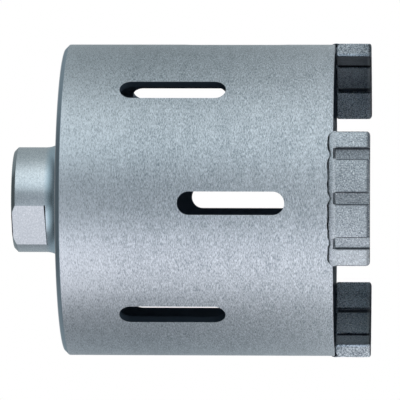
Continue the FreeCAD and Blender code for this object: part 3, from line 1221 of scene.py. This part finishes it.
# %% [markdown]
# On the finished segment, painted shade fills the grooves and edges and covers bond and crystals
# alike, and a painted highlight brightens them again along the inner cutting edge and on one
# stretch of the skin. Baked ambient occlusion could give such dark corners, but not these levels,
# so the stored attributes of painted shade and painted highlight are laid over the colour in that
# order.

# %% Diamond matrix
MATRIX_ROUGHNESS = 0.38
MATRIX_GRAIN = (0.34 * MM, 0.34 * MM, 0.34 * MM)
MATRIX_CONTRAST = 3.0
# The colour of the painted shade.
PAINTED_SHADE_COLOUR = (0.008, 0.014, 0.024)
# How far the painted highlight moves the colour towards the crystals' colour.
HIGHLIGHT_STRENGTH = 0.5
CRYSTAL_RISE = 0.4
GRIT_BUMP_DEPTH = 0.05 * MM
GRIT_BUMP = 0.7


def make_diamond_matrix():
    """Metal bond with diamond crystals, painted shade in its grooves and a painted highlight on an
    edge.
    """
    material, tree, shader, place = new_material("diamond_matrix", 1.0, MATRIX_ROUGHNESS)
    grain = add_grain(tree, place, MATRIX_GRAIN, MATRIX_CONTRAST)
    crystals = diamond_crystals(tree, place)
    colour = add_mix(tree, crystals, metal_bond(tree, place, grain["Tone"]), CRYSTAL_COLOUR)
    colour = add_mix(tree, stored(tree, "painted_shade"), colour, PAINTED_SHADE_COLOUR)
    highlight_share = add_math(tree, "MULTIPLY", stored(tree, "painted_highlight"), HIGHLIGHT_STRENGTH)
    feed(tree, shader.inputs["Base Color"], add_mix(tree, highlight_share, colour, CRYSTAL_COLOUR))
    height = add_math(tree, "MULTIPLY_ADD", crystals, CRYSTAL_RISE, grain["Height"])
    add_bump(tree, shader, height, GRIT_BUMP_DEPTH, GRIT_BUMP)
    return material


diamond_matrix = make_diamond_matrix()
print(diamond_matrix.name, "has", len(diamond_matrix.node_tree.nodes), "nodes")

# %% [markdown]
# The beads are steel that was melted and has set again, with a nearly black line at the toe,
# broken into patches. The line could be its own thin mesh, but the toe is simply the part nearest
# the barrel's skin, so the distance mask finds it. A broad noise breaks it up, and a stored
# attribute fades it at the grooves.

# %% Weld metal
WELD_ROUGHNESS = 0.4
WELD_GRAIN = (0.3 * MM, 0.3 * MM, 0.3 * MM)
WELD_CONTRAST = 3.0
WELD_DARK = (0.22, 0.255, 0.285)
WELD_BRIGHT = (0.60, 0.645, 0.69)
TOE_COLOUR = (0.012, 0.015, 0.02)
TOE_BORDER = 0.05 * MM
TOE_PATCH = 3.0 * MM
PATCH_CONTRAST = 4.0
PATCH_START = 1.0
WELD_BUMP_DEPTH = 0.04 * MM
WELD_BUMP = 0.6


def make_weld_metal():
    """Weld steel with a patchy dark line at its toe."""
    material, tree, shader, place = new_material("weld_metal", 1.0, WELD_ROUGHNESS)
    grain = add_grain(tree, place, WELD_GRAIN, WELD_CONTRAST)
    steel = toned(tree, grain["Tone"], WELD_DARK, WELD_BRIGHT)
    toe = inside(tree, place, BARREL_RADIUS + SHOULDER_RISE, TOE_BORDER)
    patches = add_noise(tree, place, 1 / TOE_PATCH, 1.0)
    patchy = add_math(tree, "MULTIPLY_ADD", patches, PATCH_CONTRAST, -PATCH_START, clamp=True)
    darkened = add_math(tree, "MULTIPLY", toe, patchy)
    darkened = add_math(tree, "MULTIPLY", darkened, stored(tree, "toe_line"))
    feed(tree, shader.inputs["Base Color"], add_mix(tree, darkened, steel, TOE_COLOUR))
    add_bump(tree, shader, grain["Height"], WELD_BUMP_DEPTH, WELD_BUMP)
    return material


weld_metal = make_weld_metal()
print(weld_metal.name, "has", len(weld_metal.node_tree.nodes), "nodes")

# %% [markdown]
# On the real bit the finishes belong to the parts, so each piece gets one material. Joining the
# pieces and giving out materials face by face would work too, but separate pieces stay easy to
# change. The barrel keeps its loaded mesh, so only the material in its slot is changed.

# %% Dress the pieces
def dress(piece, material):
    """Give the whole piece this material."""
    if piece.material_slots:
        for slot in piece.material_slots:
            slot.material = material
    else:
        piece.data.materials.append(material)
    print(piece.name, "wears", material.name)


dress(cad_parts["barrel"], barrel_steel)
dress(threaded_hub, turned_steel)
for segment in segments:
    dress(segment, diamond_matrix)
for bead in beads:
    dress(bead, weld_metal)

# %% [markdown]
# The tool is shown on a white table without a horizon. A curved paper sweep could be modelled, but
# its bend would show in views from the side. So the table's paint turns to a plain white glow away
# from the tool, for the camera and for mirror-like and glass rays, and steel mirrors white there
# too. Near the tool it stays a real surface and takes the shadow. It is clear from below, because
# the camera looks from a little under it.

# %% Floor paint
FLOOR_COLOUR = (0.86, 0.86, 0.86)
FLOOR_ROUGHNESS = 0.9
SWEEP_START = 0.14
SWEEP_LENGTH = 0.26


def seen_directly(tree):
    """1 for rays from the camera and for mirror-like and glass rays, and 0 for light."""
    path = tree.nodes.new("ShaderNodeLightPath").outputs
    seen = add_math(tree, "MAXIMUM", path["Is Camera Ray"], path["Is Glossy Ray"])
    return add_math(tree, "MAXIMUM", seen, path["Is Transmission Ray"])


def mix_shaders(tree, factor, first, second):
    """Blend two shaders."""
    node = tree.nodes.new("ShaderNodeMixShader")
    for socket, value in zip(node.inputs, (factor, first, second)):
        feed(tree, socket, value)
    return node.outputs[0]


def make_floor_paint():
    """Pale paint that turns to a white glow away from the axis, and is clear from below."""
    material, tree, shader, place = new_material("pale_floor", 0.0, FLOOR_ROUGHNESS)
    feed(tree, shader.inputs["Base Color"], FLOOR_COLOUR)
    near = inside(tree, place, SWEEP_START + SWEEP_LENGTH, SWEEP_LENGTH)
    away = add_math(tree, "SUBTRACT", 1.0, near)
    glows = add_math(tree, "MULTIPLY", away, seen_directly(tree))
    white = tree.nodes.new("ShaderNodeEmission").outputs[0]
    clear = tree.nodes.new("ShaderNodeBsdfTransparent").outputs[0]
    below = tree.nodes.new("ShaderNodeNewGeometry").outputs["Backfacing"]
    sweep = mix_shaders(tree, glows, shader.outputs[0], white)
    leave = tree.nodes["Material Output"]
    feed(tree, leave.inputs["Surface"], mix_shaders(tree, below, sweep, clear))
    return material


floor_paint = make_floor_paint()
print(floor_paint.name, "turns white from", SWEEP_START, "m outwards")

# %% [markdown]
# The table is a flat disc that reaches far past the picture. A plane would do as well, but the
# edge of a disc is equally far away in every view.

# %% Floor
FLOOR_RADIUS = 4.0
FLOOR_SIDES = 96


def make_floor():
    """The floor, which isn't part of the bit."""
    floor = add_circle(
        "studio_floor", vertices=FLOOR_SIDES, radius=FLOOR_RADIUS, fill_type="NGON",
    )
    floor.data.materials.append(floor_paint)
    return floor


print("floor faces", len(make_floor().data.polygons))

# %% [markdown]
# Bare metal shows only what stands around it, so a studio surrounds it with cards of different
# brightness. Lamps alone would leave hard white spots. Here one tall ring stands in for all the
# cards: two bright windows, one on each side of the camera, give the barrel its two long
# highlights, and grey between and behind them gives its soft dark edges. The ring gets dimmer
# with height, except behind the tool.

# %% Ring of cards: brightness
# Angle from the camera's direction, towards picture up, and brightness of the card there.
RING_LEVELS = (
    (-180, 0.42), (-140, 0.41), (-100, 0.3), (-85, 0.37), (-65, 0.87), (-40, 1.2), (-20, 0.9),
    (-5, 0.44), (10, 0.41), (25, 0.73), (45, 1.0), (60, 0.99), (80, 0.7), (115, 0.44), (180, 0.42),
)
# Height above the floor in metres, and the share of that brightness there.
RING_FADE = (
    (0.0, 1.14), (0.06, 1.03), (0.12, 0.93), (0.20, 0.85), (0.30, 0.68), (0.45, 0.42),
    (0.65, 0.24), (0.9, 0.14),
)
BACK_START = 100
BACK_BORDER = 20
BACK_FADE = 0.85


def angle_round_tool(tree, x, y):
    """Degrees from the camera's direction, positive towards the top of the picture."""
    near = around(1.0, NEAR_ANGLE, 0)
    across = around(1.0, NEAR_ANGLE + 90, 0)
    ahead, aside = (
        add_math(tree, "MULTIPLY_ADD", y, way.y, add_math(tree, "MULTIPLY", x, way.x))
        for way in (near, across)
    )
    return add_math(tree, "MULTIPLY", add_math(tree, "ARCTAN2", aside, ahead), math.degrees(1))


def card_level(tree, degrees, height):
    """How bright the ring is at this angle and height."""
    fade = add_curve(tree, height, RING_FADE)
    past_side = add_math(tree, "SUBTRACT", add_math(tree, "ABSOLUTE", degrees), BACK_START)
    behind = add_math(tree, "DIVIDE", past_side, BACK_BORDER, clamp=True)
    fade = add_math(tree, "MAXIMUM", fade, add_math(tree, "MULTIPLY", behind, BACK_FADE))
    return add_math(tree, "MULTIPLY", add_curve(tree, degrees, RING_LEVELS), fade)


print("brightest card", max(RING_LEVELS, key=lambda pair: pair[1]))

# %% [markdown]
# Studio cards aren't pure grey: most here are slightly blue, and only the brightest window is
# warmer. The steel could be tinted instead, but the tint would then stay in every other light. So
# the ring carries it, as red and blue for each part of green round the tool, and as one cool
# colour higher up.

# %% Ring of cards: colour
# Angle as above, and the red and blue of the card for each part of green.
RING_TINTS = (
    (-180, 0.90, 1.05), (-110, 0.92, 1.07), (-50, 1.03, 1.05), (-25, 1.0, 1.07),
    (-10, 0.91, 1.08), (5, 0.90, 1.10), (25, 0.89, 1.06), (55, 0.92, 1.03), (110, 0.89, 1.03),
    (180, 0.89, 1.04),
)
HIGH_TINT = (0.90, 1.0, 1.05)
HIGH_START = 0.12
HIGH_BORDER = 0.3


def card_colour(tree, degrees, height):
    """The colour of the ring at this angle and height."""
    tint = tree.nodes.new("ShaderNodeCombineColor")
    feed(tree, tint.inputs["Red"], add_curve(tree, degrees, [row[:2] for row in RING_TINTS]))
    feed(tree, tint.inputs["Green"], 1.0)
    feed(tree, tint.inputs["Blue"], add_curve(tree, degrees, [row[::2] for row in RING_TINTS]))
    above = add_math(tree, "SUBTRACT", height, HIGH_START)
    high = add_math(tree, "DIVIDE", above, HIGH_BORDER, clamp=True)
    return add_mix(tree, high, tint.outputs[0], HIGH_TINT)


print("tints round the tool:", len(RING_TINTS))

# %% [markdown]
# The ring itself is an open cylinder that stands just above the floor. A sphere or a world
# texture could hold the same picture, but a ring has a place and a height that can be measured,
# like the cards of a real studio. It glows, and the camera doesn't see it.

# %% Ring of cards
RING_RADIUS = 0.45
RING_HEIGHT = 0.9
RING_SIDES = 96


def glowing_material(name):
    """A material that only glows, with its tree and its emission."""
    material = bpy.data.materials.new(name)
    material.use_nodes = True
    tree = material.node_tree
    tree.nodes.clear()
    glow = tree.nodes.new("ShaderNodeEmission")
    leave = tree.nodes.new("ShaderNodeOutputMaterial")
    feed(tree, leave.inputs["Surface"], glow.outputs[0])
    return material, tree, glow.inputs


def make_ring():
    """The ring of cards, which isn't part of the bit."""
    bpy.ops.object.select_all(action="DESELECT")
    bpy.ops.mesh.primitive_cylinder_add(
        vertices=RING_SIDES, radius=RING_RADIUS, depth=RING_HEIGHT, end_fill_type="NOTHING",
    )
    ring = bpy.context.object
    ring.name = "card_ring"
    bpy.ops.transform.translate(value=(0, 0, RING_HEIGHT / 2 + MM))
    bpy.ops.object.transform_apply(location=True, rotation=False, scale=False)
    material, tree, glow = glowing_material("graded_cards")
    x, y, height = split(tree, tree.nodes.new("ShaderNodeTexCoord").outputs["Object"])
    degrees = angle_round_tool(tree, x, y)
    feed(tree, glow["Color"], card_colour(tree, degrees, height))
    feed(tree, glow["Strength"], card_level(tree, degrees, height))
    ring.data.materials.append(material)
    ring.visible_camera = False
    return ring


print("ring faces", len(make_ring().data.polygons))

# %% [markdown]
# The chamfer at the closed end faces up and would mirror the bright world. A photographer hangs a
# dark card, a flag, over such a face. The world could be made darker overhead instead, but a card
# can be moved and sized by itself. So a disc closes the ring at its top, with a faint glow.

# %% Flag
FLAG_LEVEL = 0.13


def make_flag():
    """The dark card over the ring, which isn't part of the bit."""
    flag = add_circle(
        "overhead_flag", vertices=RING_SIDES, radius=RING_RADIUS, fill_type="NGON",
        location=(0, 0, RING_HEIGHT),
    )
    material, tree, glow = glowing_material("dark_flag")
    feed(tree, glow["Color"], HIGH_TINT)
    feed(tree, glow["Strength"], FLAG_LEVEL)
    flag.data.materials.append(material)
    flag.visible_camera = False
    return flag


print("flag at", round(make_flag().location.z, 2), "m")

# %% [markdown]
# Around it all is white paper. A picture of a studio could hang there, but the ring and the flag
# stand between it and the tool, so the world is only the background. It is plain white for the
# camera and for mirror-like and glass rays, and half as strong for everything else, so that it
# doesn't wash out the shadow when the ring is opened or moved.

# %% World
WORLD_FILL = 0.5


def make_world():
    """White where it is seen, and softer as a light."""
    world = bpy.data.worlds.new("white_studio")
    bpy.context.scene.world = world
    world.use_nodes = True
    tree = world.node_tree
    sky = tree.nodes["Background"].inputs
    feed(tree, sky["Color"], (1.0, 1.0, 1.0))
    level = add_math(tree, "MULTIPLY_ADD", seen_directly(tree), 1 - WORLD_FILL, WORLD_FILL)
    feed(tree, sky["Strength"], level)
    return world


print("world", make_world().name)

# %% [markdown]
# A tool that stands on a table drops a soft shadow beside it. The glowing ring alone gives almost
# none, and a sun or a small lamp would give a hard one. One broad disc lamp inside the ring, high
# up on the camera's side, gives it softly. It is hidden from mirror-like rays, so that it makes no
# spot on the steel. The Standard view keeps colours as they are written.

# %% Lamp
KEY_TURN = -50
KEY_HEIGHT = 0.8
KEY_DISTANCE = 0.25
KEY_SIZE = 0.35
KEY_POWER = 8.0


def add_key_lamp():
    """A broad lamp that looks at the middle of the tool."""
    data = bpy.data.lights.new("soft_key", "AREA")
    data.shape = "DISK"
    data.size = KEY_SIZE
    data.energy = KEY_POWER
    lamp = bpy.data.objects.new("soft_key", data)
    bpy.context.scene.collection.objects.link(lamp)
    lamp.location = around(KEY_DISTANCE, NEAR_ANGLE + KEY_TURN, KEY_HEIGHT)
    aim = Vector((0, 0, AIM_HEIGHT)) - lamp.location
    lamp.rotation_euler = aim.to_track_quat("-Z", "Y").to_euler()
    lamp.visible_camera = False
    lamp.visible_glossy = False
    return lamp


print("lamp at", [round(v, 3) for v in add_key_lamp().location])
bpy.context.scene.view_settings.view_transform = "Standard"
